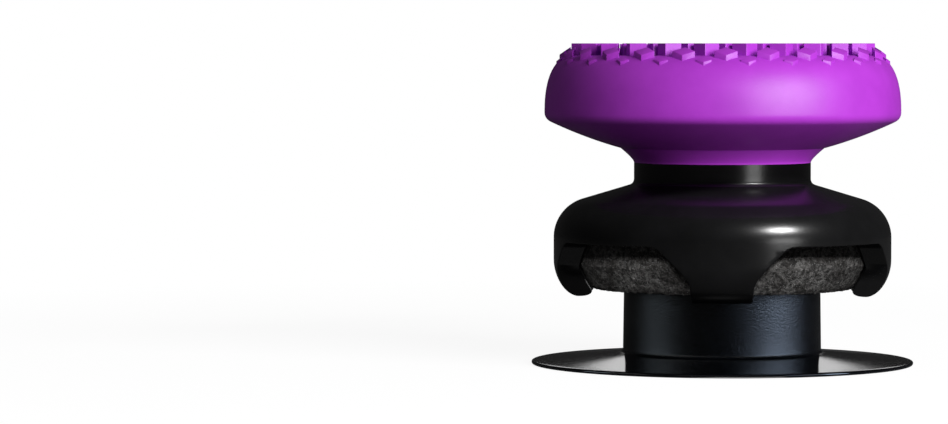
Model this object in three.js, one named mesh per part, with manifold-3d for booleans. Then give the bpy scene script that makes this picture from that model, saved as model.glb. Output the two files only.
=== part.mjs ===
// Tall thumb grip for a game controller, clipped over the analogue thumbstick that it fits.
// Millimetres, +Z up. The origin is on the axis, at the bottom of the thumbstick's skirt.
// One of the four prongs faces the front, -Y.

import * as THREE from "three";
import { mergeVertices } from "three/addons/utils/BufferGeometryUtils.js";
import Module from "manifold-3d";

const wasm = await Module();
wasm.setup();

// Facets round a revolved shape and along one curve of a profile
const gripFacets = 72;
const stickFacets = 48;
const facetsPerCurve = 4;

// How far a cutter runs past what it cuts, and a joined shape runs into what carries it
const overshoot = 1;
const rooting = 0.5;

// Thumbstick skirt, a shallow dome that ends in a flat ring
const skirtRadius = 11.4;
const skirtFootWidth = 0.45;
const skirtEdge = 0.2;
const skirtRise = 0.5;
const skirtWall = 0.42;
const skirtCrown = 0.08;

// Thumbstick stem, hollow from below
const stemRadius = 5.92;
const stemTaper = 0.06;
const stemFillet = 0.28;
const stemLength = 3.82;
const stemWall = 1.1;

// Socket under the stem, which pushes on the controller's post
const socketBossRadius = 3.2;
const socketBossEnd = 0.3;
const socketLength = 4;
const socketWidth = 3;
const socketDepth = 4;
const socketRibWidth = 0.8;
const socketRibSetback = 0.9;

// Rubber cap of the thumbstick, moulded round a disc on the stem
const stickCapRadius = 8.7;
const stickCapHeight = 3.63;
const stickCapWall = 1.3;
const stickCapFloor = 0.72;
const discHeight = 1.25;
const stickTaperWidth = 0.8;
const stickTaperHeight = 1.3;
const stickUndersideChamfer = 0.2;
const stickRimFillet = 0.6;
const stickRimWidth = 0.6;
const stickDishDepth = 1.1;
const mouldGap = 0.05;

// Clip body, a waisted dome that seats in the stick's dish
const seatGap = 0.1;
const clipGap = 0.07;
const clipWall = 1.31;
const domeHeight = 2.45;
const domeWallDrop = 0.65;
const domeCrestInset = 1.68;
const domeCrestDrop = 0.85;
const domeRoundness = 1;
const neckRadius = 5.28;
const neckFillet = 0.3;
const neckHeight = 1.35;

// Prongs, which hook under the stick's cap, and the windows between them
const windowDrop = 0.85;
const windowCorner = 0.45;
const prongFlareHeight = 1.25;
const prongRootWidth = 7.7;
const prongFootWidth = 3.7;
const prongTipWidth = 3.3;
const prongFootHeight = 0.85;
const hookDrop = 0.15;
const hookReach = 0.86;
const hookLip = 0.36;
const hookRoundHeight = 2.15;

// Spigot that the grip cap is moulded on, square so that the cap can't turn
const spigotWidth = 5;
const spigotCorner = 1;
const spigotHeight = 3.2;
const spigotGap = 0.15;
const spigotEndGap = 0.3;

// Grip cap: a bowl on a cove, a straight side, a round shoulder and a dished top
const gripCapRadius = 10.635;
const gripCapHeight = 7.11;
const coveReach = 0.8;
const coveRise = 0.86;
const bowlRise = 1.55;
const bowlBelly = 0.1;
const bowlEdge = 0.4;
const sideHeight = 0.15;
const shoulderWidth = 1.735;
const shoulderReach = 1.15;
const shoulderDrop = 1.9;
const landWidth = 1.75;
const gripDishDepth = 0.95;

// Tread, diamond blocks in staggered rows
const treadCount = 24;
const treadTurn = 1.2;
const treadHeight = 0.7;
const treadRoot = 1.2;
const edgeRowInset = 0.855;
const edgeRowDrop = 0.93;
const edgeRowSlope = 31;
const edgeBlockWidth = 0.92;
const edgeBlockLength = 0.44;
const shoulderRowInset = 1.235;
const shoulderRowDrop = 0.44;
const shoulderRowSlope = 34;
const shoulderBlockWidth = 1.38;
const shoulderBlockLength = 0.7;
const crownRowInset = 2.195;
const crownBlockWidth = 1.5;
const crownBlockLength = 1.32;
const crownRows = 2;
const dishRows = 3;
const dishRowFade = 0.16;
const rowShrink = 0.92;

// Sizes that two pieces share
const discRadius = stickCapRadius - stickCapWall;
const stickDishRadius = stickCapRadius - stickRimFillet - stickRimWidth;

// Heights that follow from the sizes above, from the bottom up
const stemFootZ = skirtEdge + skirtRise;
const stickCapBottomZ = stemFootZ + stemLength;
const discBottomZ = stickCapBottomZ + stickCapFloor;
const discTopZ = discBottomZ + discHeight;
const stickTaperZ = stickCapBottomZ + stickUndersideChamfer;
const stickTaperTopZ = stickTaperZ + stickTaperHeight;
const stickCapTopZ = stickCapBottomZ + stickCapHeight;
const stickDishZ = stickCapTopZ - stickDishDepth;
const ceilingZ = stickCapTopZ + seatGap;
const neckBottomZ = ceilingZ + domeHeight;
const seamZ = neckBottomZ + neckHeight;
const treadTopZ = seamZ + gripCapHeight;
const landZ = treadTopZ - treadHeight;

// Turns a closed three.js geometry into a solid that can be joined and cut
function toSolid(geometry) {
  const weldDistance = 1e-4;
  geometry.deleteAttribute("normal");
  geometry.deleteAttribute("uv");
  const welded = mergeVertices(geometry, weldDistance);
  const corners = welded.index.array;
  const triangles = [];
  for (let i = 0; i < corners.length; i += 3) {
    const [a, b, c] = corners.slice(i, i + 3);
    if (a !== b && b !== c && c !== a) {
      triangles.push(a, b, c);
    }
  }
  return new wasm.Manifold(new wasm.Mesh({
    numProp: 3,
    vertProperties: new Float32Array(welded.attributes.position.array),
    triVerts: new Uint32Array(triangles),
  }));
}

// Turns a solid back into a named mesh with one normal for each facet
function toMesh(name, solid, material) {
  const { vertProperties, triVerts } = solid.getMesh();
  const geometry = new THREE.BufferGeometry();
  geometry.setAttribute("position", new THREE.BufferAttribute(vertProperties, 3));
  geometry.setIndex(new THREE.BufferAttribute(triVerts, 1));
  const faceted = geometry.toNonIndexed();
  faceted.computeVertexNormals();
  const mesh = new THREE.Mesh(faceted, material);
  mesh.name = name;
  return mesh;
}

// Adds a curve to the point (radius, z) that stands bulge above the straight line at its middle
function bowTo(profile, radius, z, bulge) {
  const start = profile.currentPoint;
  profile.quadraticCurveTo((start.x + radius) / 2, (start.y + z) / 2 + bulge * 2, radius, z);
}

// Revolves a profile of radius and height about the Z axis, starting at the front
function revolve(profile, facets) {
  const geometry = new THREE.LatheGeometry(profile.getPoints(facetsPerCurve), facets);
  geometry.rotateX(Math.PI / 2);
  return toSolid(geometry);
}

// Extrudes an outline seen from above, from one height to another
function extrudeUp(outline, fromZ, toZ) {
  const options = { depth: toZ - fromZ, bevelEnabled: false, curveSegments: facetsPerCurve };
  const geometry = new THREE.ExtrudeGeometry(outline, options);
  geometry.translate(0, 0, fromZ);
  return toSolid(geometry);
}

// Extrudes an outline seen from the front, right through the axis
function extrudeThrough(outline, length) {
  const options = { depth: length, bevelEnabled: false, curveSegments: facetsPerCurve };
  const geometry = new THREE.ExtrudeGeometry(outline, options);
  geometry.translate(0, 0, -length / 2);
  geometry.rotateX(Math.PI / 2);
  return geometry;
}

function block(width, length, fromZ, toZ) {
  const geometry = new THREE.BoxGeometry(width, length, toZ - fromZ);
  geometry.translate(0, 0, (fromZ + toZ) / 2);
  return toSolid(geometry);
}

function roundedSquare(width, corner) {
  const half = width / 2;
  const centre = half - corner;
  const outline = new THREE.Shape();
  outline.moveTo(centre, -half);
  outline.absarc(centre, -centre, corner, -Math.PI / 2, 0, false);
  outline.absarc(centre, centre, corner, 0, Math.PI / 2, false);
  outline.absarc(-centre, centre, corner, Math.PI / 2, Math.PI, false);
  outline.absarc(-centre, -centre, corner, Math.PI, Math.PI * 1.5, false);
  return outline;
}

// Thumbstick core: skirt, hollow stem, disc and the ribbed socket underneath
function thumbstickCore() {
  const boreRadius = stemRadius - stemWall;
  const filletRadius = stemRadius + stemFillet;

  const profile = new THREE.Path();
  profile.moveTo(0, socketBossEnd);
  profile.lineTo(socketBossRadius, socketBossEnd);
  profile.lineTo(socketBossRadius, discBottomZ);
  profile.lineTo(boreRadius, discBottomZ);
  profile.lineTo(boreRadius, stemFootZ - skirtWall);
  bowTo(profile, skirtRadius - skirtFootWidth, 0, skirtCrown);
  profile.lineTo(skirtRadius, 0);
  profile.lineTo(skirtRadius, skirtEdge);
  bowTo(profile, filletRadius, stemFootZ, skirtCrown);
  profile.quadraticCurveTo(stemRadius, stemFootZ, stemRadius, stemFootZ + stemFillet);
  profile.lineTo(stemRadius - stemTaper, discBottomZ);
  profile.lineTo(discRadius, discBottomZ);
  profile.lineTo(discRadius, discTopZ);
  profile.lineTo(0, discTopZ);

  const ribLength = (boreRadius + stemWall / 2) * 2;
  const ribBottomZ = socketBossEnd + socketRibSetback;
  const ribTopZ = discBottomZ + rooting;
  return revolve(profile, stickFacets)
    .add(block(ribLength, socketRibWidth, ribBottomZ, ribTopZ))
    .add(block(socketRibWidth, ribLength, ribBottomZ, ribTopZ))
    .subtract(block(socketLength, socketWidth, socketBossEnd - overshoot, socketBossEnd + socketDepth));
}

// Rubber cap of the thumbstick, with a tapered side and a dished top
function thumbstickRubber() {
  const holeRadius = stemRadius + mouldGap;
  const cavityRadius = discRadius + mouldGap;
  const cavityTopZ = discTopZ + mouldGap;
  const cavityBottomZ = discBottomZ - mouldGap;
  const undersideRadius = stickCapRadius - stickTaperWidth;

  const profile = new THREE.Path();
  profile.moveTo(0, cavityTopZ);
  profile.lineTo(cavityRadius, cavityTopZ);
  profile.lineTo(cavityRadius, cavityBottomZ);
  profile.lineTo(holeRadius, cavityBottomZ);
  profile.lineTo(holeRadius, stickCapBottomZ);
  profile.lineTo(undersideRadius - stickUndersideChamfer, stickCapBottomZ);
  profile.lineTo(undersideRadius, stickTaperZ);
  profile.lineTo(stickCapRadius, stickTaperTopZ);
  profile.lineTo(stickCapRadius, stickCapTopZ - stickRimFillet);
  profile.quadraticCurveTo(stickCapRadius, stickCapTopZ,
    stickCapRadius - stickRimFillet, stickCapTopZ);
  profile.lineTo(stickDishRadius, stickCapTopZ);
  profile.quadraticCurveTo(stickDishRadius / 2, stickDishZ, 0, stickDishZ);
  return revolve(profile, stickFacets);
}

// Seat of the clip body, which fills the stick's dish but for the seat gap
function clipSeat() {
  const bottomZ = stickDishZ + seatGap;
  const profile = new THREE.Path();
  profile.moveTo(0, bottomZ);
  profile.quadraticCurveTo(stickDishRadius / 2, bottomZ, stickDishRadius, ceilingZ);
  profile.lineTo(stickDishRadius, ceilingZ + rooting);
  profile.lineTo(0, ceilingZ + rooting);
  return revolve(profile, stickFacets);
}

// Outline of a prong seen from the front: a straight foot, a flare at 45 degrees, round window corners
function prongOutline(belowZ, footTopZ, windowTopZ) {
  const tip = prongTipWidth / 2;
  const foot = prongFootWidth / 2;
  const root = prongRootWidth / 2;
  const flare = root - prongFlareHeight;
  const flareZ = windowTopZ - prongFlareHeight;
  const bendZ = flareZ - (flare - foot);
  const corner = windowCorner * Math.SQRT1_2;

  const outline = new THREE.Shape();
  outline.moveTo(-tip, belowZ);
  outline.lineTo(tip, belowZ);
  outline.lineTo(foot, footTopZ);
  outline.quadraticCurveTo(foot, bendZ, flare, flareZ);
  outline.lineTo(root - corner, windowTopZ - corner);
  outline.quadraticCurveTo(root, windowTopZ, root + windowCorner, windowTopZ);
  outline.lineTo(root + windowCorner, windowTopZ + overshoot);
  outline.lineTo(-root - windowCorner, windowTopZ + overshoot);
  outline.lineTo(-root - windowCorner, windowTopZ);
  outline.quadraticCurveTo(-root, windowTopZ, -root + corner, windowTopZ - corner);
  outline.lineTo(-flare, flareZ);
  outline.quadraticCurveTo(-foot, bendZ, -foot, footTopZ);
  return outline;
}

// What is cut from the clip's wall to leave four prongs
function clipWindows(outerRadius, hookBottomZ) {
  const windowTopZ = ceilingZ - windowDrop;
  const belowZ = hookBottomZ - overshoot;
  const outline = prongOutline(belowZ, hookBottomZ + prongFootHeight, windowTopZ);
  const cutterRadius = outerRadius + overshoot;
  const frontAndBack = extrudeThrough(outline, cutterRadius * 2);
  const leftAndRight = frontAndBack.clone().rotateZ(Math.PI / 2);

  const disc = new THREE.CylinderGeometry(cutterRadius, cutterRadius, windowTopZ - belowZ, gripFacets);
  disc.rotateX(Math.PI / 2);
  disc.translate(0, 0, (windowTopZ + belowZ) / 2);
  return toSolid(disc).subtract(toSolid(frontAndBack)).subtract(toSolid(leftAndRight));
}

// Clip body: neck, dome, seat, four prongs with hooked feet, and the spigot
function clipBody() {
  const innerRadius = stickCapRadius + clipGap;
  const outerRadius = innerRadius + clipWall;
  const hookTipRadius = innerRadius - hookReach;
  const rampTopZ = stickTaperTopZ - hookDrop;
  const hookTipZ = rampTopZ - hookReach * stickTaperHeight / stickTaperWidth;
  const hookBottomZ = hookTipZ - hookLip;
  const hookMiddleRadius = (hookTipRadius + innerRadius) / 2 + hookLip;
  const wallTopZ = ceilingZ - domeWallDrop;
  const crestRadius = outerRadius - domeCrestInset;
  const crestZ = neckBottomZ - domeCrestDrop;
  const neckFootRadius = neckRadius + neckFillet;
  const roofSlope = domeCrestDrop / (crestRadius - neckFootRadius);
  const neckCornerZ = neckBottomZ + neckFillet * roofSlope;

  const profile = new THREE.Path();
  profile.moveTo(0, ceilingZ);
  profile.lineTo(innerRadius, ceilingZ);
  profile.lineTo(innerRadius, rampTopZ);
  profile.lineTo(hookTipRadius, hookTipZ);
  profile.quadraticCurveTo(hookTipRadius, hookBottomZ, hookMiddleRadius, hookBottomZ);
  profile.bezierCurveTo((hookMiddleRadius + outerRadius) / 2, hookBottomZ,
    outerRadius, hookBottomZ + hookRoundHeight / 2, outerRadius, hookBottomZ + hookRoundHeight);
  profile.lineTo(outerRadius, wallTopZ);
  profile.bezierCurveTo(outerRadius, wallTopZ + domeRoundness,
    crestRadius + domeRoundness, crestZ - domeRoundness * roofSlope, crestRadius, crestZ);
  profile.lineTo(neckFootRadius, neckBottomZ);
  profile.quadraticCurveTo(neckRadius, neckCornerZ, neckRadius, neckCornerZ + neckFillet);
  profile.lineTo(neckRadius, seamZ);
  profile.lineTo(0, seamZ);

  const spigot = roundedSquare(spigotWidth, spigotCorner);
  return revolve(profile, gripFacets)
    .subtract(clipWindows(outerRadius, hookBottomZ))
    .add(clipSeat())
    .add(extrudeUp(spigot, seamZ - rooting, seamZ + spigotHeight));
}

// Rows of the tread from the edge to the dish, every other row half a step round
function treadRows() {
  const rows = [
    {
      radius: gripCapRadius - edgeRowInset,
      topZ: treadTopZ - edgeRowDrop,
      width: edgeBlockWidth,
      length: edgeBlockLength,
      slope: Math.tan(THREE.MathUtils.degToRad(edgeRowSlope)),
      steps: 0.5,
    },
    {
      radius: gripCapRadius - shoulderRowInset,
      topZ: treadTopZ - shoulderRowDrop,
      width: shoulderBlockWidth,
      length: shoulderBlockLength,
      slope: Math.tan(THREE.MathUtils.degToRad(shoulderRowSlope)),
      steps: 0,
    },
  ];

  // The crown rows are level, and the rows inside them follow the dish and fade towards its middle
  const dishRadius = gripCapRadius - shoulderWidth - landWidth;
  for (let i = 0; i < crownRows + dishRows; i += 1) {
    const size = rowShrink ** i;
    const row = {
      radius: (gripCapRadius - crownRowInset) * size,
      topZ: treadTopZ,
      width: crownBlockWidth * size,
      length: crownBlockLength * size,
      slope: 0,
      steps: (i + 1) / 2,
    };
    const rowInDish = i - crownRows + 1;
    if (rowInDish > 0) {
      row.topZ -= gripDishDepth * (1 - (row.radius / dishRadius) ** 2) + dishRowFade * rowInDish;
      row.slope = -2 * gripDishDepth * row.radius / dishRadius ** 2;
    }
    rows.push(row);
  }
  return rows;
}

// One tread block at the front: a diamond seen from above, whose top slopes outwards
function treadBlock({ radius, topZ, width, length, slope }) {
  const diamond = new THREE.CylinderGeometry(1, 1, treadRoot, 4);
  diamond.rotateX(Math.PI / 2);
  diamond.scale(width / 2, length / 2, 1);
  diamond.applyMatrix4(new THREE.Matrix4().makeShear(0, 0, 0, slope, 0, 0));
  diamond.translate(0, -radius, topZ - treadRoot / 2);
  return diamond;
}

// Grip cap without its tread, with the socket for the spigot
function gripCapBody() {
  const bowlRadius = neckRadius + coveReach;
  const bowlZ = seamZ + coveRise;
  const edgeRadius = gripCapRadius - bowlEdge;
  const edgeZ = bowlZ + bowlRise;
  const bowlRun = edgeRadius - bowlRadius;
  const bowlStartSlope = (bowlRise - bowlBelly * 4) / bowlRun;
  const bowlEndSlope = (bowlRise + bowlBelly * 4) / bowlRun;
  const edgeCornerZ = edgeZ + bowlEdge * bowlEndSlope;
  const sideZ = edgeCornerZ + bowlEdge;
  const sideTopZ = sideZ + sideHeight;
  const landRadius = gripCapRadius - shoulderWidth;
  const dishRadius = landRadius - landWidth;
  const dishZ = landZ - gripDishDepth;

  const profile = new THREE.Path();
  profile.moveTo(0, seamZ);
  profile.lineTo(neckRadius, seamZ);
  profile.quadraticCurveTo(neckRadius, bowlZ - coveReach * bowlStartSlope, bowlRadius, bowlZ);
  bowTo(profile, edgeRadius, edgeZ, -bowlBelly);
  profile.quadraticCurveTo(gripCapRadius, edgeCornerZ, gripCapRadius, sideZ);
  profile.lineTo(gripCapRadius, sideTopZ);
  profile.bezierCurveTo(gripCapRadius, sideTopZ + shoulderDrop,
    landRadius + shoulderReach, landZ, landRadius, landZ);
  profile.lineTo(dishRadius, landZ);
  profile.quadraticCurveTo(dishRadius / 2, dishZ, 0, dishZ);

  const socket = roundedSquare(spigotWidth + spigotGap * 2, spigotCorner + spigotGap);
  const socketTopZ = seamZ + spigotHeight + spigotEndGap;
  return revolve(profile, gripFacets)
    .subtract(extrudeUp(socket, seamZ - overshoot, socketTopZ));
}

// Grip cap: one piece of soft rubber with the tread moulded on
function gripCap() {
  const step = Math.PI * 2 / treadCount;
  const turn = THREE.MathUtils.degToRad(treadTurn);
  let cap = gripCapBody();
  for (const row of treadRows()) {
    for (let i = 0; i < treadCount; i += 1) {
      const diamond = treadBlock(row);
      diamond.rotateZ(turn + step * (i + row.steps));
      cap = cap.add(toSolid(diamond));
    }
  }
  return cap;
}

const purpleRubber = new THREE.MeshStandardMaterial({ color: 0xb23fd6, roughness: 0.5, metalness: 0 });
const blackPlastic = new THREE.MeshStandardMaterial({ color: 0x141416, roughness: 0.25, metalness: 0 });
const greyRubber = new THREE.MeshStandardMaterial({ color: 0x2f2c2b, roughness: 0.85, metalness: 0 });
const greyPlastic = new THREE.MeshStandardMaterial({ color: 0x2b2d30, roughness: 0.45, metalness: 0 });

const thumbGrip = new THREE.Group();
thumbGrip.add(
  toMesh("grip_cap", gripCap(), purpleRubber),
  toMesh("clip_body", clipBody(), blackPlastic),
  toMesh("thumbstick_rubber", thumbstickRubber(), greyRubber),
  toMesh("thumbstick_core", thumbstickCore(), greyPlastic),
);

export default thumbGrip;
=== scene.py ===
import math

import bmesh
import bpy
from mathutils import Matrix, Vector, noise


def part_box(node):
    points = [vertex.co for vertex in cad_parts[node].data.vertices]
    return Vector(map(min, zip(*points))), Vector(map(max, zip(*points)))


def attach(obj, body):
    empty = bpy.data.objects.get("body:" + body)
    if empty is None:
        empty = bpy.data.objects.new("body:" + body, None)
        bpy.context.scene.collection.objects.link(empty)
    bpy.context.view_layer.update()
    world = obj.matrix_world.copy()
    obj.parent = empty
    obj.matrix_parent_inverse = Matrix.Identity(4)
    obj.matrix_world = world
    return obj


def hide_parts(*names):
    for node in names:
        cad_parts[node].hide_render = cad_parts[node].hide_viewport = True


# Looks of a tall thumb grip, clipped over the thumbstick that it fits.
# Shapes are made in millimetres about the Z axis, with the front at -Y, and end up in metres.
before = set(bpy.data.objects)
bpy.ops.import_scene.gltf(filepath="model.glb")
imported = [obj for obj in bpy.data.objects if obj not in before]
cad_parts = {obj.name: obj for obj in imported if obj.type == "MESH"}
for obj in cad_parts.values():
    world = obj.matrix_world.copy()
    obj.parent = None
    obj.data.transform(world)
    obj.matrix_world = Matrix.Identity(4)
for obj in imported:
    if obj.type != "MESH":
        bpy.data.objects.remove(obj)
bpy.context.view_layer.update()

MM = 0.001
BODY = "root"
FRONT = -math.pi / 2

# Fineness of the meshes
GRIP_SEGMENTS = 144
STICK_SEGMENTS = 192
GRAIN_SEGMENTS = 560
WINDOW_SEGMENTS = 24
CURVE_STEPS = 12

# Degrees between two faces from which their edge is shaded sharp, also where edges are bevelled
SHARP_ANGLE = 48
BEVEL_SHARP_ANGLE = 20

# How far a cutting shape runs past what it cuts, and a joined shape into what it joins
OVERRUN = 1
OVERLAP = 0.5


def corners_mm(node):
    """The lowest and highest corner of a node's box in millimetres."""
    low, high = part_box(node)
    return low / MM, high / MM


cap_low, cap_high = corners_mm("grip_cap")
clip_low, clip_high = corners_mm("clip_body")
rubber_low, rubber_high = corners_mm("thumbstick_rubber")
_, core_high = corners_mm("thumbstick_core")


class Profile:
    """A line of (radius, height) points, made of straight lines and curves in short steps."""

    def __init__(self, radius, z):
        self.points = [(radius, z)]

    def line(self, radius, z, steps=1):
        r0, z0 = self.points[-1]
        for i in range(1, steps + 1):
            t = i / steps
            self.points.append((r0 + (radius - r0) * t, z0 + (z - z0) * t))

    def quadratic(self, control_r, control_z, radius, z, steps=CURVE_STEPS):
        r0, z0 = self.points[-1]
        for i in range(1, steps + 1):
            t = i / steps
            a, b, c = (1 - t) ** 2, 2 * t * (1 - t), t * t
            self.points.append((a * r0 + b * control_r + c * radius,
                                a * z0 + b * control_z + c * z))

    def cubic(self, r1, z1, r2, z2, radius, z, steps=CURVE_STEPS):
        r0, z0 = self.points[-1]
        for i in range(1, steps + 1):
            t = i / steps
            a, b, c, d = (1 - t) ** 3, 3 * t * (1 - t) ** 2, 3 * t * t * (1 - t), t ** 3
            self.points.append((a * r0 + b * r1 + c * r2 + d * radius,
                                a * z0 + b * z1 + c * z2 + d * z))

    def bow(self, radius, z, bulge, steps=CURVE_STEPS):
        """A curve that stands bulge above the straight line at its middle."""
        r0, z0 = self.points[-1]
        self.quadratic((r0 + radius) / 2, (z0 + z) / 2 + bulge * 2, radius, z, steps)


def new_piece(name, bm):
    """An object made from a bmesh, which is used up."""
    mesh = bpy.data.meshes.new(name)
    bm.to_mesh(mesh)
    bm.free()
    piece = bpy.data.objects.new(name, mesh)
    bpy.context.scene.collection.objects.link(piece)
    return piece


def revolve(name, points, segments):
    """A closed mesh made by turning a profile about the axis, starting at the front."""
    bm = bmesh.new()
    rings = []
    for radius, z in points:
        if radius < 1e-6:
            rings.append([bm.verts.new((0, 0, z))] * segments)
            continue
        angles = [FRONT + math.tau * i / segments for i in range(segments)]
        rings.append([bm.verts.new((radius * math.cos(a), radius * math.sin(a), z))
                      for a in angles])
    for lower, upper in zip(rings, rings[1:]):
        for i in range(segments):
            j = (i + 1) % segments
            corners = [lower[i], lower[j], upper[j], upper[i]]
            bm.faces.new(list(dict.fromkeys(corners)))
    return new_piece(name, bm)


def prism(name, outline, low, high):
    """A closed prism over an outline of (x, y) points that runs counter-clockwise."""
    bm = bmesh.new()
    bottom = [bm.verts.new((x, y, low)) for x, y in outline]
    top = [bm.verts.new((x, y, high)) for x, y in outline]
    bm.faces.new(bottom[::-1])
    bm.faces.new(top)
    for i in range(len(outline)):
        j = (i + 1) % len(outline)
        bm.faces.new([bottom[i], bottom[j], top[j], top[i]])
    return new_piece(name, bm)


def rounded_rectangle(width, length, corner, steps=8):
    """An outline of (x, y) points with a number of steps round each corner."""
    points = []
    for k, (sx, sy) in enumerate([(1, -1), (1, 1), (-1, 1), (-1, -1)]):
        for i in range(steps + 1):
            angle = FRONT + math.pi / 2 * (k + i / steps)
            x = sx * (width / 2 - corner) + corner * math.cos(angle)
            y = sy * (length / 2 - corner) + corner * math.sin(angle)
            points.append((x, y))
    return points


def apply_modifiers(piece):
    """Replaces a piece's mesh by what its modifiers make of it."""
    graph = bpy.context.evaluated_depsgraph_get()
    mesh = bpy.data.meshes.new_from_object(piece.evaluated_get(graph))
    piece.modifiers.clear()
    old = piece.data
    piece.data = mesh
    mesh.name = piece.name
    bpy.data.meshes.remove(old)


def combine(piece, other, operation):
    """Joins a piece with another mesh or cuts it by that, which is used up."""
    modifier = piece.modifiers.new("boolean", "BOOLEAN")
    modifier.object = other
    modifier.operation = operation
    modifier.solver = "MANIFOLD"
    apply_modifiers(piece)
    mesh = other.data
    bpy.data.objects.remove(other)
    bpy.data.meshes.remove(mesh)


def smooth(piece, sharp_angle):
    """Smooth shading that breaks at sharp edges and follows the larger faces."""
    piece.data.shade_smooth()
    piece.data.set_sharp_from_angle(angle=math.radians(sharp_angle))
    modifier = piece.modifiers.new("normals", "WEIGHTED_NORMAL")
    modifier.mode = "FACE_AREA_WITH_ANGLE"
    modifier.keep_sharp = True
    apply_modifiers(piece)


def place(piece, node, material, sharp_angle=SHARP_ANGLE):
    """Brings a finished mesh to metres and lets it stand for its node."""
    piece.data.transform(Matrix.Scale(MM, 4))
    piece.data.materials.clear()
    piece.data.materials.append(material)
    smooth(piece, sharp_angle)
    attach(piece, BODY)
    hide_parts(node)


# Grip cap: the cove at the seam, the bowl under the cap, its side, shoulder, land and dish

SEAM_Z = cap_low.z
TREAD_TOP_Z = cap_high.z
CAP_RADIUS = cap_high.x
NECK_RADIUS = 5.28
COVE_REACH = 0.8
COVE_RISE = 0.86
COVE_CREASE = 3
BOWL_RISE = 1.55
BOWL_BELLY = 0.1
BOWL_EDGE = 0.4
SIDE_HEIGHT = 0.15
SHOULDER_WIDTH = 1.735
SHOULDER_REACH = 1.15
SHOULDER_DROP = 1.9
LAND_WIDTH = 1.75
DISH_DEPTH = 0.95

# Tread: blocks in a row, their turn in degrees, their height over the land, and how deep they root
TREAD_COUNT = 24
TREAD_TURN = 1.2
TREAD_HEIGHT = 0.7
TREAD_ROOT = 1.2
TREAD_EDGE = 0.035

# Each row on the shoulder: inset from the side, drop from the top, width, length, slope in degrees,
# and its turn in steps of the spacing
SHOULDER_ROWS = [(0.855, 0.93, 0.92, 0.44, 31, 0.5),
                 (1.235, 0.44, 1.38, 0.7, 34, 0)]
CROWN_ROW_INSET = 2.195
CROWN_BLOCK_WIDTH = 1.5
CROWN_BLOCK_LENGTH = 1.32
CROWN_ROWS = 2
DISH_ROWS = 3
DISH_ROW_FADE = 0.16
ROW_SHRINK = 0.92

SPIGOT_WIDTH = 5
SPIGOT_CORNER = 1
SPIGOT_GAP = 0.15
SPIGOT_END_GAP = 0.3


def cap_profile():
    """The cap's outline, from the axis at the seam over its outside to the axis in the dish.

    A bow's slope at its ends differs from its chord's by four times its bulge over its run.
    """
    bowl_radius = NECK_RADIUS + COVE_REACH
    bowl_z = SEAM_Z + COVE_RISE
    edge_radius = CAP_RADIUS - BOWL_EDGE
    edge_z = bowl_z + BOWL_RISE
    bowl_run = edge_radius - bowl_radius
    bowl_start_slope = (BOWL_RISE - BOWL_BELLY * 4) / bowl_run
    bowl_end_slope = (BOWL_RISE + BOWL_BELLY * 4) / bowl_run
    edge_corner_z = edge_z + BOWL_EDGE * bowl_end_slope
    side_z = edge_corner_z + BOWL_EDGE
    side_top_z = side_z + SIDE_HEIGHT
    land_z = TREAD_TOP_Z - TREAD_HEIGHT
    land_radius = CAP_RADIUS - SHOULDER_WIDTH
    dish_radius = land_radius - LAND_WIDTH
    dish_z = land_z - DISH_DEPTH
    cove_corner_z = bowl_z - COVE_REACH * bowl_start_slope * COVE_CREASE

    profile = Profile(0, SEAM_Z)
    profile.line(NECK_RADIUS, SEAM_Z)
    profile.quadratic(NECK_RADIUS, cove_corner_z, bowl_radius, bowl_z)
    profile.bow(edge_radius, edge_z, -BOWL_BELLY)
    profile.quadratic(CAP_RADIUS, edge_corner_z, CAP_RADIUS, side_z, 8)
    profile.line(CAP_RADIUS, side_top_z)
    profile.cubic(CAP_RADIUS, side_top_z + SHOULDER_DROP,
                  land_radius + SHOULDER_REACH, land_z, land_radius, land_z, 16)
    profile.line(dish_radius, land_z, 3)
    profile.quadratic(dish_radius / 2, dish_z, 0, dish_z, 16)
    return profile.points


def tread_rows():
    """The rows from the edge to the dish: radius, top, width, length, slope and steps turned."""
    rows = [(CAP_RADIUS - inset, TREAD_TOP_Z - drop, width, length,
             math.tan(math.radians(slope)), steps)
            for inset, drop, width, length, slope, steps in SHOULDER_ROWS]
    dish_radius = CAP_RADIUS - SHOULDER_WIDTH - LAND_WIDTH
    for i in range(CROWN_ROWS + DISH_ROWS):
        size = ROW_SHRINK ** i
        radius = (CAP_RADIUS - CROWN_ROW_INSET) * size
        row_in_dish = i - CROWN_ROWS + 1
        drop = slope = 0
        if row_in_dish > 0:
            drop = DISH_DEPTH * (1 - (radius / dish_radius) ** 2) + DISH_ROW_FADE * row_in_dish
            slope = -2 * DISH_DEPTH * radius / dish_radius ** 2
        rows.append((radius, TREAD_TOP_Z - drop, CROWN_BLOCK_WIDTH * size,
                     CROWN_BLOCK_LENGTH * size, slope, (i + 1) / 2))
    return rows


def tread_block(width, length, slope):
    """One diamond block with softened edges, its top centred on the origin."""
    bm = bmesh.new()
    outline = [(width / 2, 0), (0, length / 2), (-width / 2, 0), (0, -length / 2)]
    bottom = [bm.verts.new((x, y, -TREAD_ROOT)) for x, y in outline]
    top = [bm.verts.new((x, y, 0)) for x, y in outline]
    bm.faces.new(bottom[::-1])
    bm.faces.new(top)
    for i in range(4):
        j = (i + 1) % 4
        bm.faces.new([bottom[i], bottom[j], top[j], top[i]])
    open_edges = [e for e in bm.edges if max(v.co.z for v in e.verts) > -TREAD_ROOT / 2]
    bmesh.ops.bevel(bm, geom=open_edges, offset=TREAD_EDGE, segments=2, profile=0.5,
                    affect="EDGES")
    for vertex in bm.verts:
        vertex.co.z += slope * vertex.co.y
    return bm


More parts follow.
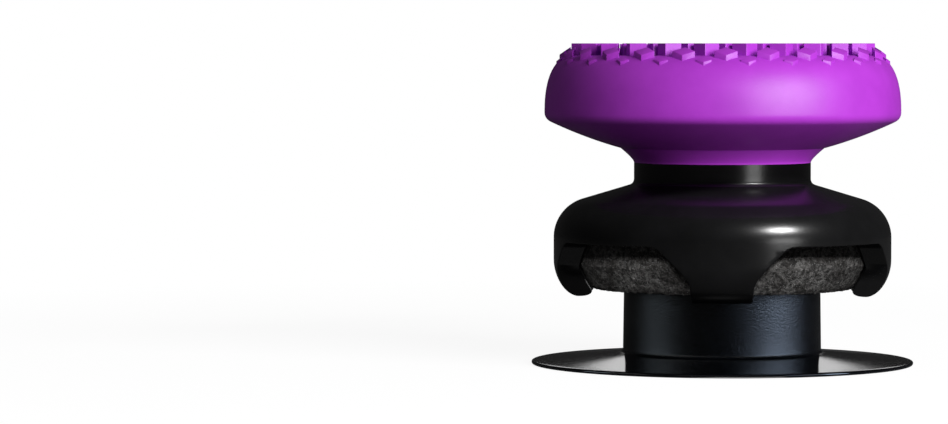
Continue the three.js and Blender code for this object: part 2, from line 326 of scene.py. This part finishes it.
def tread():
    """All tread blocks as one mesh."""
    step = math.tau / TREAD_COUNT
    bm = bmesh.new()
    for radius, top_z, width, length, slope, steps in tread_rows():
        block = tread_block(width, length, slope)
        block.transform(Matrix.Translation((0, -radius, top_z)))
        template = bpy.data.meshes.new("block")
        block.to_mesh(template)
        block.free()
        for i in range(TREAD_COUNT):
            angle = math.radians(TREAD_TURN) + step * (i + steps)
            copy = template.copy()
            copy.transform(Matrix.Rotation(angle, 4, "Z"))
            bm.from_mesh(copy)
            bpy.data.meshes.remove(copy)
        bpy.data.meshes.remove(template)
    return new_piece("tread", bm)


def make_grip_cap(material):
    cap = revolve("grip_cap_rubber", cap_profile(), GRIP_SEGMENTS)
    socket_width = SPIGOT_WIDTH + SPIGOT_GAP * 2
    socket = rounded_rectangle(socket_width, socket_width, SPIGOT_CORNER + SPIGOT_GAP)
    socket_top_z = clip_high.z + SPIGOT_END_GAP
    combine(cap, prism("socket", socket, SEAM_Z - OVERRUN, socket_top_z), "DIFFERENCE")
    combine(cap, tread(), "UNION")
    place(cap, "grip_cap", material, BEVEL_SHARP_ANGLE)
    return cap


# Clip body: gaps to the stick, dome and neck

CLIP_GAP = 0.07
SEAT_GAP = 0.1
DOME_HEIGHT = 2.45
DOME_WALL_DROP = 0.65
DOME_CREST_INSET = 1.68
DOME_CREST_DROP = 0.85
DOME_ROUNDNESS = 1
NECK_FILLET = 0.3

# Windows, prongs and the hooks at the prongs' feet
WINDOW_DROP = 0.85
WINDOW_CORNER = 0.45
PRONG_FLARE_HEIGHT = 1.25
PRONG_ROOT_WIDTH = 7.7
PRONG_FOOT_WIDTH = 3.7
PRONG_TIP_WIDTH = 3.3
PRONG_FOOT_HEIGHT = 0.85
HOOK_DROP = 0.15
HOOK_REACH = 0.86
HOOK_LIP = 0.36
HOOK_ROUND_HEIGHT = 2.15

# Softened edges of the cuts: their width, and the degrees between two faces from which it is done
CUT_EDGE = 0.06
CUT_EDGE_ANGLE = 35

# Outside of the stick's rubber, which the clip body is seated on
STICK_RADIUS = rubber_high.x
STICK_TOP_Z = rubber_high.z
STICK_TAPER_WIDTH = 0.8
STICK_TAPER_HEIGHT = 1.3
STICK_CHAMFER = 0.2
STICK_RIM_FILLET = 0.6
STICK_RIM_WIDTH = 0.6
STICK_DISH_DEPTH = 1.1
STICK_DISH_RADIUS = STICK_RADIUS - STICK_RIM_FILLET - STICK_RIM_WIDTH
STICK_DISH_Z = STICK_TOP_Z - STICK_DISH_DEPTH
STICK_TAPER_Z = rubber_low.z + STICK_CHAMFER
STICK_TAPER_TOP_Z = STICK_TAPER_Z + STICK_TAPER_HEIGHT

CEILING_Z = STICK_TOP_Z + SEAT_GAP
CLIP_RADIUS = clip_high.x
HOOK_BOTTOM_Z = clip_low.z


def clip_profile():
    """The shell's outline, from the seat over the hooks and the dome to the seam."""
    inner_radius = STICK_RADIUS + CLIP_GAP
    hook_tip_radius = inner_radius - HOOK_REACH
    ramp_top_z = STICK_TAPER_TOP_Z - HOOK_DROP
    hook_tip_z = ramp_top_z - HOOK_REACH * STICK_TAPER_HEIGHT / STICK_TAPER_WIDTH
    hook_middle_radius = (hook_tip_radius + inner_radius) / 2 + HOOK_LIP
    wall_top_z = CEILING_Z - DOME_WALL_DROP
    neck_bottom_z = CEILING_Z + DOME_HEIGHT
    crest_radius = CLIP_RADIUS - DOME_CREST_INSET
    crest_z = neck_bottom_z - DOME_CREST_DROP
    neck_foot_radius = NECK_RADIUS + NECK_FILLET
    roof_slope = DOME_CREST_DROP / (crest_radius - neck_foot_radius)
    neck_corner_z = neck_bottom_z + NECK_FILLET * roof_slope
    seat_z = STICK_DISH_Z + SEAT_GAP

    profile = Profile(0, seat_z)
    profile.quadratic(STICK_DISH_RADIUS / 2, seat_z, STICK_DISH_RADIUS, CEILING_Z, 8)
    profile.line(inner_radius, CEILING_Z)
    profile.line(inner_radius, ramp_top_z, 6)
    profile.line(hook_tip_radius, hook_tip_z, 4)
    profile.quadratic(hook_tip_radius, HOOK_BOTTOM_Z, hook_middle_radius, HOOK_BOTTOM_Z, 6)
    profile.cubic((hook_middle_radius + CLIP_RADIUS) / 2, HOOK_BOTTOM_Z,
                  CLIP_RADIUS, HOOK_BOTTOM_Z + HOOK_ROUND_HEIGHT / 2,
                  CLIP_RADIUS, HOOK_BOTTOM_Z + HOOK_ROUND_HEIGHT, 16)
    profile.line(CLIP_RADIUS, wall_top_z, 4)
    profile.cubic(CLIP_RADIUS, wall_top_z + DOME_ROUNDNESS,
                  crest_radius + DOME_ROUNDNESS, crest_z - DOME_ROUNDNESS * roof_slope,
                  crest_radius, crest_z, 20)
    profile.line(neck_foot_radius, neck_bottom_z, 4)
    profile.quadratic(NECK_RADIUS, neck_corner_z, NECK_RADIUS, neck_corner_z + NECK_FILLET, 8)
    profile.line(NECK_RADIUS, SEAM_Z, 3)
    profile.line(0, SEAM_Z)
    return profile.points


def prong_outline():
    """A prong seen from the front, as (x, z) points: foot, flare and round window corners."""
    window_top_z = CEILING_Z - WINDOW_DROP
    tip = PRONG_TIP_WIDTH / 2
    foot = PRONG_FOOT_WIDTH / 2
    root = PRONG_ROOT_WIDTH / 2
    flare = root - PRONG_FLARE_HEIGHT
    flare_z = window_top_z - PRONG_FLARE_HEIGHT
    bend_z = flare_z - (flare - foot)
    corner = WINDOW_CORNER * math.sqrt(0.5)

    side = Profile(tip, HOOK_BOTTOM_Z - OVERRUN)
    side.line(foot, HOOK_BOTTOM_Z + PRONG_FOOT_HEIGHT)
    side.quadratic(foot, bend_z, flare, flare_z, 8)
    side.line(root - corner, window_top_z - corner)
    side.quadratic(root, window_top_z, root + WINDOW_CORNER, window_top_z, 6)
    side.line(root + WINDOW_CORNER, window_top_z + OVERRUN)
    mirrored = [(-x, z) for x, z in reversed(side.points)]
    return side.points + mirrored


def prong_prism(turn):
    """A prong's outline, run right through the axis."""
    reach = CLIP_RADIUS + OVERRUN * 2
    prong = prism("prong", prong_outline(), -reach, reach)
    upright = Matrix.Rotation(math.pi / 2, 4, "X")
    prong.data.transform(Matrix.Rotation(turn, 4, "Z") @ upright)
    return prong


def soften_edges(piece, width, least_angle, top_z):
    """Rounds the edges that cuts have left below a height."""
    bm = bmesh.new()
    bm.from_mesh(piece.data)
    bmesh.ops.remove_doubles(bm, verts=bm.verts, dist=width / 3)
    bmesh.ops.dissolve_degenerate(bm, edges=bm.edges, dist=1e-4)
    limit = math.radians(least_angle)
    edges = [e for e in bm.edges if e.is_manifold and e.calc_face_angle(0) > limit
             and max(v.co.z for v in e.verts) < top_z]
    bmesh.ops.bevel(bm, geom=edges, offset=width, segments=2, profile=0.5,
                    affect="EDGES", clamp_overlap=False)
    bm.to_mesh(piece.data)
    bm.free()


def make_clip_body(material):
    clip = revolve("clip_body_shell", clip_profile(), GRIP_SEGMENTS)
    window_top_z = CEILING_Z - WINDOW_DROP
    window_bottom_z = HOOK_BOTTOM_Z - OVERRUN / 2
    reach = CLIP_RADIUS + OVERRUN
    windows = revolve("windows", [(0, window_bottom_z), (reach, window_bottom_z),
                                  (reach, window_top_z), (0, window_top_z)], WINDOW_SEGMENTS)
    combine(windows, prong_prism(0), "DIFFERENCE")
    combine(windows, prong_prism(math.pi / 2), "DIFFERENCE")
    spigot = rounded_rectangle(SPIGOT_WIDTH, SPIGOT_WIDTH, SPIGOT_CORNER)
    combine(clip, prism("spigot", spigot, SEAM_Z - OVERLAP, clip_high.z), "UNION")
    combine(clip, windows, "DIFFERENCE")
    soften_edges(clip, CUT_EDGE, CUT_EDGE_ANGLE, CEILING_Z)
    place(clip, "clip_body", material, BEVEL_SHARP_ANGLE)
    return clip


# Thumbstick rubber

MOULD_GAP = 0.05

# Grain: its depth and size, how rough, fine and many-layered its noise is, and its contrast
GRAIN_DEPTH = 0.05
GRAIN_SIZE = 0.2
GRAIN_ROUGHNESS = 0.7
GRAIN_LAYER_STEP = 2.1
GRAIN_LAYERS = 3
GRAIN_CONTRAST = 1.6

# Stem and disc of the core, which the rubber is moulded round
STEM_RADIUS = 5.92
DISC_RADIUS = 7.4
DISC_BOTTOM_Z = rubber_low.z + 0.72
DISC_TOP_Z = core_high.z


def rubber_profile():
    """The rubber's outline, from the cavity over its underside and side to the dish."""
    hole_radius = STEM_RADIUS + MOULD_GAP
    cavity_radius = DISC_RADIUS + MOULD_GAP
    cavity_top_z = DISC_TOP_Z + MOULD_GAP
    cavity_bottom_z = DISC_BOTTOM_Z - MOULD_GAP
    underside_radius = STICK_RADIUS - STICK_TAPER_WIDTH

    profile = Profile(0, cavity_top_z)
    profile.line(cavity_radius, cavity_top_z)
    profile.line(cavity_radius, cavity_bottom_z)
    profile.line(hole_radius, cavity_bottom_z)
    profile.line(hole_radius, rubber_low.z)
    profile.line(underside_radius - STICK_CHAMFER, rubber_low.z, 16)
    profile.line(underside_radius, STICK_TAPER_Z, 3)
    profile.line(STICK_RADIUS, STICK_TAPER_TOP_Z, 18)
    profile.line(STICK_RADIUS, STICK_TOP_Z - STICK_RIM_FILLET, 14)
    profile.quadratic(STICK_RADIUS, STICK_TOP_Z, STICK_RADIUS - STICK_RIM_FILLET, STICK_TOP_Z, 8)
    profile.line(STICK_DISH_RADIUS, STICK_TOP_Z, 3)
    profile.quadratic(STICK_DISH_RADIUS / 2, STICK_DISH_Z, 0, STICK_DISH_Z, 12)
    return profile.points


def add_grain(piece, depth, size, inner_radius):
    """Presses an irregular grain into the outside of a mesh, never outwards."""
    mesh = piece.data
    normals = [v.normal.copy() for v in mesh.vertices]
    for vertex, normal in zip(mesh.vertices, normals):
        if math.hypot(vertex.co.x, vertex.co.y) < inner_radius:
            continue
        value = noise.fractal(vertex.co / size, GRAIN_ROUGHNESS, GRAIN_LAYER_STEP, GRAIN_LAYERS)
        vertex.co -= normal * depth * (0.5 + 0.5 * max(-1, min(1, value * GRAIN_CONTRAST)))


def make_thumbstick_rubber(material):
    rubber = revolve("thumbstick_cap_rubber", rubber_profile(), GRAIN_SEGMENTS)
    add_grain(rubber, GRAIN_DEPTH, GRAIN_SIZE, STEM_RADIUS + MOULD_GAP * 2)
    place(rubber, "thumbstick_rubber", material)
    return rubber


# Thumbstick core: skirt, stem, the ribbed boss with its socket, and where the stem's finish starts

SKIRT_RADIUS = core_high.x
SKIRT_FOOT_WIDTH = 0.45
SKIRT_EDGE = 0.2
SKIRT_RISE = 0.5
SKIRT_WALL = 0.42
SKIRT_HOLLOW = 0.03
SKIRT_EDGE_ROUND = 0.12
SKIRT_LIP = 0.02
STEM_TAPER = 0.06
STEM_FILLET = 0.28
STEM_WALL = 1.1
BOSS_RADIUS = 3.2
BOSS_END = 0.3
BOSS_EDGE = 0.1
SOCKET_LENGTH = 4
SOCKET_WIDTH = 3
SOCKET_DEPTH = 4
SOCKET_CORNER = 0.15
RIB_WIDTH = 0.8
RIB_SETBACK = 0.9
RIB_CORNER = 0.05
STEM_FINISH_BLEND = 0.05


def core_profile():
    """The core's outline, from the boss over the skirt and the stem to the disc's top."""
    bore_radius = STEM_RADIUS - STEM_WALL
    stem_foot_z = SKIRT_EDGE + SKIRT_RISE
    flat_radius = SKIRT_RADIUS - SKIRT_EDGE_ROUND

    profile = Profile(0, BOSS_END)
    profile.line(BOSS_RADIUS - BOSS_EDGE, BOSS_END)
    profile.quadratic(BOSS_RADIUS, BOSS_END, BOSS_RADIUS, BOSS_END + BOSS_EDGE, 4)
    profile.line(BOSS_RADIUS, DISC_BOTTOM_Z, 4)
    profile.line(bore_radius, DISC_BOTTOM_Z)
    profile.line(bore_radius, stem_foot_z - SKIRT_WALL, 4)
    profile.bow(SKIRT_RADIUS - SKIRT_FOOT_WIDTH, 0, -SKIRT_HOLLOW)
    profile.line(flat_radius, 0)
    profile.quadratic(SKIRT_RADIUS, 0, SKIRT_RADIUS, SKIRT_EDGE_ROUND, 4)
    profile.quadratic(SKIRT_RADIUS, SKIRT_EDGE, flat_radius, SKIRT_EDGE + SKIRT_LIP, 4)
    profile.bow(STEM_RADIUS + STEM_FILLET, stem_foot_z, -SKIRT_HOLLOW, 24)
    profile.quadratic(STEM_RADIUS, stem_foot_z, STEM_RADIUS, stem_foot_z + STEM_FILLET, 8)
    profile.line(STEM_RADIUS - STEM_TAPER, DISC_BOTTOM_Z, 6)
    profile.line(DISC_RADIUS, DISC_BOTTOM_Z)
    profile.line(DISC_RADIUS, DISC_TOP_Z)
    profile.line(0, DISC_TOP_Z)
    return profile.points


def make_thumbstick_core(material):
    core = revolve("thumbstick_stem", core_profile(), STICK_SEGMENTS)
    bore_radius = STEM_RADIUS - STEM_WALL
    rib_length = (bore_radius + STEM_WALL / 2) * 2
    rib_bottom = BOSS_END + RIB_SETBACK
    rib_top = DISC_BOTTOM_Z + OVERLAP
    across = rounded_rectangle(rib_length, RIB_WIDTH, RIB_CORNER, 2)
    along = rounded_rectangle(RIB_WIDTH, rib_length, RIB_CORNER, 2)
    socket = rounded_rectangle(SOCKET_LENGTH, SOCKET_WIDTH, SOCKET_CORNER, 4)
    combine(core, prism("rib", across, rib_bottom, rib_top), "UNION")
    combine(core, prism("rib", along, rib_bottom, rib_top), "UNION")
    socket_prism = prism("socket", socket, BOSS_END - OVERRUN, BOSS_END + SOCKET_DEPTH)
    combine(core, socket_prism, "DIFFERENCE")
    place(core, "thumbstick_core", material)
    return core


# Materials

# Nearly all of a noise's values lie between these
NOISE_LOW = 0.3
NOISE_HIGH = 0.7


class Nodes:
    """Short names for building a material's nodes."""

    def __init__(self, name):
        self.material = bpy.data.materials.new(name)
        self.material.use_nodes = True
        self.tree = self.material.node_tree
        self.shader = self.tree.nodes["Principled BSDF"]
        self.output = self.tree.nodes["Material Output"]
        coordinates = self.node("ShaderNodeTexCoord")
        self.place = coordinates.outputs["Object"]
        self.normal = coordinates.outputs["Normal"]

    def node(self, kind, **values):
        made = self.tree.nodes.new(kind)
        for name, value in values.items():
            setattr(made, name, value)
        return made

    def link(self, source, target):
        self.tree.links.new(source, target)

    def put(self, value, socket):
        """Links another node's output to a socket, or sets a plain value on it."""
        if isinstance(value, bpy.types.NodeSocket):
            self.link(value, socket)
        else:
            socket.default_value = value

    def noise(self, size_mm, detail=3, roughness=0.55):
        made = self.node("ShaderNodeTexNoise")
        made.inputs["Scale"].default_value = 1 / (size_mm * MM)
        made.inputs["Detail"].default_value = detail
        made.inputs["Roughness"].default_value = roughness
        self.link(self.place, made.inputs["Vector"])
        return made.outputs["Fac"]

    def along_axis(self, vector):
        """A vector's part along the axis: the height of a place, or how far a normal faces up."""
        made = self.node("ShaderNodeSeparateXYZ")
        self.link(vector, made.inputs["Vector"])
        return made.outputs["Z"]

    def cells(self, size_mm):
        made = self.node("ShaderNodeTexVoronoi")
        made.inputs["Scale"].default_value = 1 / (size_mm * MM)
        self.link(self.place, made.inputs["Vector"])
        return made.outputs["Distance"]

    def remap(self, source, low, high, to_low=0, to_high=1):
        made = self.node("ShaderNodeMapRange")
        self.link(source, made.inputs["Value"])
        self.put(low, made.inputs["From Min"])
        self.put(high, made.inputs["From Max"])
        self.put(to_low, made.inputs["To Min"])
        self.put(to_high, made.inputs["To Max"])
        return made.outputs["Result"]

    def vary(self, noise, low, high):
        """Brings a noise to values between low and high."""
        return self.remap(noise, NOISE_LOW, NOISE_HIGH, low, high)

    def blend(self, factor, first, second):
        """A colour between two, each of which is a tuple or another node's output."""
        made = self.node("ShaderNodeMix", data_type="RGBA")
        self.link(factor, made.inputs["Factor"])
        for socket, value in ((made.inputs["A"], first), (made.inputs["B"], second)):
            self.put((*value, 1) if isinstance(value, tuple) else value, socket)
        return made.outputs["Result"]

    def bump(self, height, depth_mm, strength=1):
        made = self.node("ShaderNodeBump")
        self.link(height, made.inputs["Height"])
        self.put(depth_mm * MM, made.inputs["Distance"])
        self.put(strength, made.inputs["Strength"])
        return made.outputs["Normal"]

    def finish(self, colour, roughness, normal):
        """Sets what the surface shows, and gives the material."""
        self.link(colour, self.shader.inputs["Base Color"])
        self.link(roughness, self.shader.inputs["Roughness"])
        self.link(normal, self.shader.inputs["Normal"])
        return self.material


def purple_rubber():
    """Soft-touch rubber with a fine even grain and faint clouding: satin, and matt on its top."""
    n = Nodes("purple_rubber")
    clouds = n.remap(n.noise(2.5), 0.35, 0.65)
    colour = n.blend(clouds, (0.48, 0.042, 0.67), (0.53, 0.050, 0.73))
    fine = n.noise(0.06, 4)
    facing_up = n.along_axis(n.normal)
    satin, matt = n.vary(fine, 0.38, 0.46), n.vary(fine, 0.6, 0.68)
    roughness = n.remap(facing_up, 0.8, 0.97, satin, matt)
    return n.finish(colour, roughness, n.bump(fine, 0.006))


def black_plastic():
    """Moulded plastic between satin and gloss."""
    n = Nodes("black_plastic")
    clouds = n.remap(n.noise(1.8), 0.35, 0.65)
    colour = n.blend(clouds, (0.006, 0.006, 0.0063), (0.008, 0.008, 0.0085))
    fine = n.noise(0.09, 3)
    return n.finish(colour, n.vary(fine, 0.22, 0.26), n.bump(fine, 0.002))


def grey_rubber():
    """Coarse textured rubber, mottled from dark to light in patches, with light specks."""
    n = Nodes("grey_rubber")
    patches = n.remap(n.noise(1.2, 3), 0.38, 0.6)
    mottle = n.remap(n.noise(0.3, 6, 0.8), 0.42, 0.6)
    light = n.blend(patches, (0.05, 0.045, 0.042), (0.17, 0.165, 0.16))
    colour = n.blend(mottle, (0.010, 0.009, 0.008), light)
    specks = n.remap(n.cells(0.14), 0.05, 0.25, 1, 0)
    colour = n.blend(specks, colour, (0.35, 0.35, 0.35))
    coarse = n.noise(0.16, 4, 0.7)
    return n.finish(colour, n.remap(mottle, 0, 1, 0.7, 0.45), n.bump(coarse, 0.2))


def grey_plastic():
    """Nearly black speckled plastic, satin and grained on the stem, glossy on the skirt."""
    n = Nodes("grey_plastic")
    speckle = n.remap(n.noise(0.12, 5, 0.7), 0.4, 0.62)
    colour = n.blend(speckle, (0.0015, 0.0015, 0.0018), (0.005, 0.006, 0.0075))
    fine = n.noise(0.12, 4, 0.7)
    foot_z = (SKIRT_EDGE + SKIRT_RISE) * MM
    on_stem = n.remap(n.along_axis(n.place), foot_z, foot_z + STEM_FINISH_BLEND * MM)
    grain = n.bump(fine, 0.03, n.remap(on_stem, 0, 1, 0.04, 1))
    return n.finish(colour, n.remap(on_stem, 0, 1, 0.08, 0.22), grain)


# Set: floor, background, lamps and camera

# The floor's side in metres, and how far from the axis it starts and ends to fade, in millimetres
FLOOR_SIZE = 4
SHADOW_RADIUS = 45
FADE_RADIUS = 90

# What the camera sees of the lit floor, a share of the light and a glow that make white together
FLOOR_LIT = 0.2
FLOOR_GLOW = 0.91

# How bright floor and world are to the object, and the world in reflections
FLOOR_BOUNCE = 0.12
WORLD_FILL = 0.12
WORLD_REFLECTED = 0.02

# Metres from a lamp to what it is aimed at, and that point's height in millimetres
LAMP_DISTANCE = 0.45
LAMP_AIM_Z = 10


def grey(level):
    return (level, level, level, 1)


def make_floor():
    """A pale floor that keeps the shadow, fades into the white background, and is clear below."""
    bm = bmesh.new()
    bmesh.ops.create_grid(bm, x_segments=1, y_segments=1, size=FLOOR_SIZE / 2)
    floor = new_piece("floor", bm)
    n = Nodes("pale_floor")
    n.tree.nodes.remove(n.shader)
    path = n.node("ShaderNodeLightPath")
    geometry = n.node("ShaderNodeNewGeometry")

    lit = n.node("ShaderNodeBsdfDiffuse")
    lit.inputs["Color"].default_value = grey(FLOOR_LIT)
    glow = n.node("ShaderNodeEmission")
    glow.inputs["Strength"].default_value = FLOOR_GLOW
    near = n.node("ShaderNodeAddShader")
    n.link(lit.outputs[0], near.inputs[0])
    n.link(glow.outputs[0], near.inputs[1])

    white = n.node("ShaderNodeEmission")
    distance = n.node("ShaderNodeVectorMath", operation="LENGTH")
    n.link(n.place, distance.inputs[0])
    fade = n.remap(distance.outputs["Value"], SHADOW_RADIUS * MM, FADE_RADIUS * MM)
    seen = n.node("ShaderNodeMixShader")
    n.link(fade, seen.inputs[0])
    n.link(near.outputs[0], seen.inputs[1])
    n.link(white.outputs[0], seen.inputs[2])

    bounce = n.node("ShaderNodeBsdfDiffuse")
    bounce.inputs["Color"].default_value = grey(FLOOR_BOUNCE)
    for_camera = n.node("ShaderNodeMixShader")
    n.link(path.outputs["Is Camera Ray"], for_camera.inputs[0])
    n.link(bounce.outputs[0], for_camera.inputs[1])
    n.link(seen.outputs[0], for_camera.inputs[2])

    clear = n.node("ShaderNodeBsdfTransparent")
    one_sided = n.node("ShaderNodeMixShader")
    n.link(geometry.outputs["Backfacing"], one_sided.inputs[0])
    n.link(for_camera.outputs[0], one_sided.inputs[1])
    n.link(clear.outputs[0], one_sided.inputs[2])
    n.link(one_sided.outputs[0], n.output.inputs["Surface"])
    floor.data.materials.append(n.material)
    return floor


def make_world():
    """White where the camera sees it, a weak even fill light, and nearly dark in reflections."""
    world = bpy.data.worlds.new("studio")
    bpy.context.scene.world = world
    world.use_nodes = True
    tree = world.node_tree
    background = tree.nodes["Background"]
    background.inputs["Color"].default_value = (1, 1, 1, 1)
    path = tree.nodes.new("ShaderNodeLightPath")
    fill = tree.nodes.new("ShaderNodeMapRange")
    fill.inputs["To Min"].default_value = WORLD_FILL
    fill.inputs["To Max"].default_value = WORLD_REFLECTED
    tree.links.new(path.outputs["Is Glossy Ray"], fill.inputs["Value"])
    strength = tree.nodes.new("ShaderNodeMapRange")
    strength.inputs["To Max"].default_value = 1.0
    tree.links.new(path.outputs["Is Camera Ray"], strength.inputs["Value"])
    tree.links.new(fill.outputs["Result"], strength.inputs["To Min"])
    tree.links.new(strength.outputs["Result"], background.inputs["Strength"])


def aim(thing, location, target):
    """Puts a lamp or camera at a place and points it at another."""
    thing.location = location
    thing.rotation_mode = "QUATERNION"
    thing.rotation_quaternion = (Vector(target) - Vector(location)).to_track_quat("-Z", "Y")


def collect(name, pieces):
    collection = bpy.data.collections.new(name)
    for piece in pieces:
        collection.objects.link(piece)
    return collection


def softbox(name, azimuth, elevation, width, height, power, colour, lit, shaded_by=None,
            distance=LAMP_DISTANCE):
    """A rectangular lamp, azimuth degrees to the right of the front, aimed at the object's middle.

    Its size is in metres and its power in watts. It lights only the pieces in lit, and where
    shaded_by is given only those pieces cast its shadows.
    """
    data = bpy.data.lights.new(name, "AREA")
    data.shape = "RECTANGLE"
    data.size = width
    data.size_y = height
    data.energy = power
    data.color = colour
    lamp = bpy.data.objects.new(name, data)
    bpy.context.scene.collection.objects.link(lamp)
    a, e = math.radians(azimuth), math.radians(elevation)
    away = Vector((math.sin(a) * math.cos(e), -math.cos(a) * math.cos(e), math.sin(e)))
    middle = Vector((0, 0, LAMP_AIM_Z * MM))
    aim(lamp, middle + away * distance, middle)
    lamp.light_linking.receiver_collection = collect(name + "_lit", lit)
    if shaded_by:
        lamp.light_linking.blocker_collection = collect(name + "_shaded_by", shaded_by)


def make_lamps(floor, cap, clip, rubber, core):
    """Soft lamps, each for the pieces whose light or highlight it makes as in the photograph.

    Each line: name, azimuth, elevation, width, height, power, colour, the pieces that it lights,
    and where they differ from the usual the pieces that shade it and its distance.
    """
    white = (1, 1, 1)
    cool = (0.74, 0.88, 1)
    blue = (0.6, 0.75, 1)

    # The cap's light, and the shadow on the floor
    softbox("key", 42, 16, 0.3, 0.22, 2.45, white, [floor, cap])

    # On the clip body: the neck's stripe, the dome's highlight, the inner sides of the hooks
    softbox("neck", 40, 4, 0.022, 0.017, 0.006, white, [clip], [cap], 0.07)
    softbox("dome", 45, 35, 0.1, 0.06, 2.2, white, [clip])
    softbox("hooks", 0, -88, 0.1, 0.1, 0.005, white, [clip], [cap])

    # The stick's rubber, brighter in the right window
    softbox("rubber_right", 24, 29, 0.1, 0.08, 2.3, white, [rubber])
    softbox("rubber_left", -16, 29, 0.1, 0.08, 1.3, white, [rubber])

    # The stem's bluish sides, with its middle left dark
    softbox("stem_right", 72, 8, 0.13, 0.24, 1.5, blue, [core])
    softbox("stem_front", 50, 8, 0.18, 0.24, 0.35, blue, [core])
    softbox("stem_left", -81, 8, 0.15, 0.24, 0.3, cool, [core])

    # The strip behind that the skirt mirrors, light on its foot, and light on the underside
    softbox("skirt", 180, 11.4, 0.12, 0.0345, 0.016, white, [core])
    softbox("foot", 0, 45, 0.4, 0.06, 0.1, white, [core])
    softbox("foot_right", 67, 36, 0.2, 0.06, 0.1, white, [core])
    softbox("foot_left", -67, 36, 0.2, 0.06, 0.1, white, [core])
    softbox("below", 20, -60, 0.3, 0.3, 2, white, [core], [cap, clip, rubber, core])

    # The clip body's back
    softbox("back", 180, 62, 0.2, 0.16, 0.5, white, [clip])


def make_camera():
    """The photograph's view: a long lens level with the tread, aimed beside the object.

    axis_x and ground_y are where the axis and the ground are seen, in pixels of the photograph.
    """
    frame_width, frame_height = 948, 424
    axis_x, ground_y = 722.4, 363
    pixels_per_mm = 16.7
    distance = 250
    height = TREAD_TOP_Z
    sensor_width = 36
    data = bpy.data.cameras.new("camera")
    data.sensor_width = sensor_width
    data.lens = pixels_per_mm * distance * sensor_width / frame_width
    data.clip_start = 0.01
    data.clip_end = 10
    camera = bpy.data.objects.new("camera", data)
    bpy.context.scene.collection.objects.link(camera)
    middle_x = (frame_width / 2 - axis_x) / pixels_per_mm
    middle_z = (ground_y - frame_height / 2) / pixels_per_mm
    aim(camera, Vector((0, -distance, height)) * MM, Vector((middle_x, 0, middle_z)) * MM)
    bpy.context.scene.camera = camera


bpy.context.scene.view_settings.view_transform = "Standard"
make_camera()
make_world()
make_lamps(make_floor(),
           make_grip_cap(purple_rubber()),
           make_clip_body(black_plastic()),
           make_thumbstick_rubber(grey_rubber()),
           make_thumbstick_core(grey_plastic()))
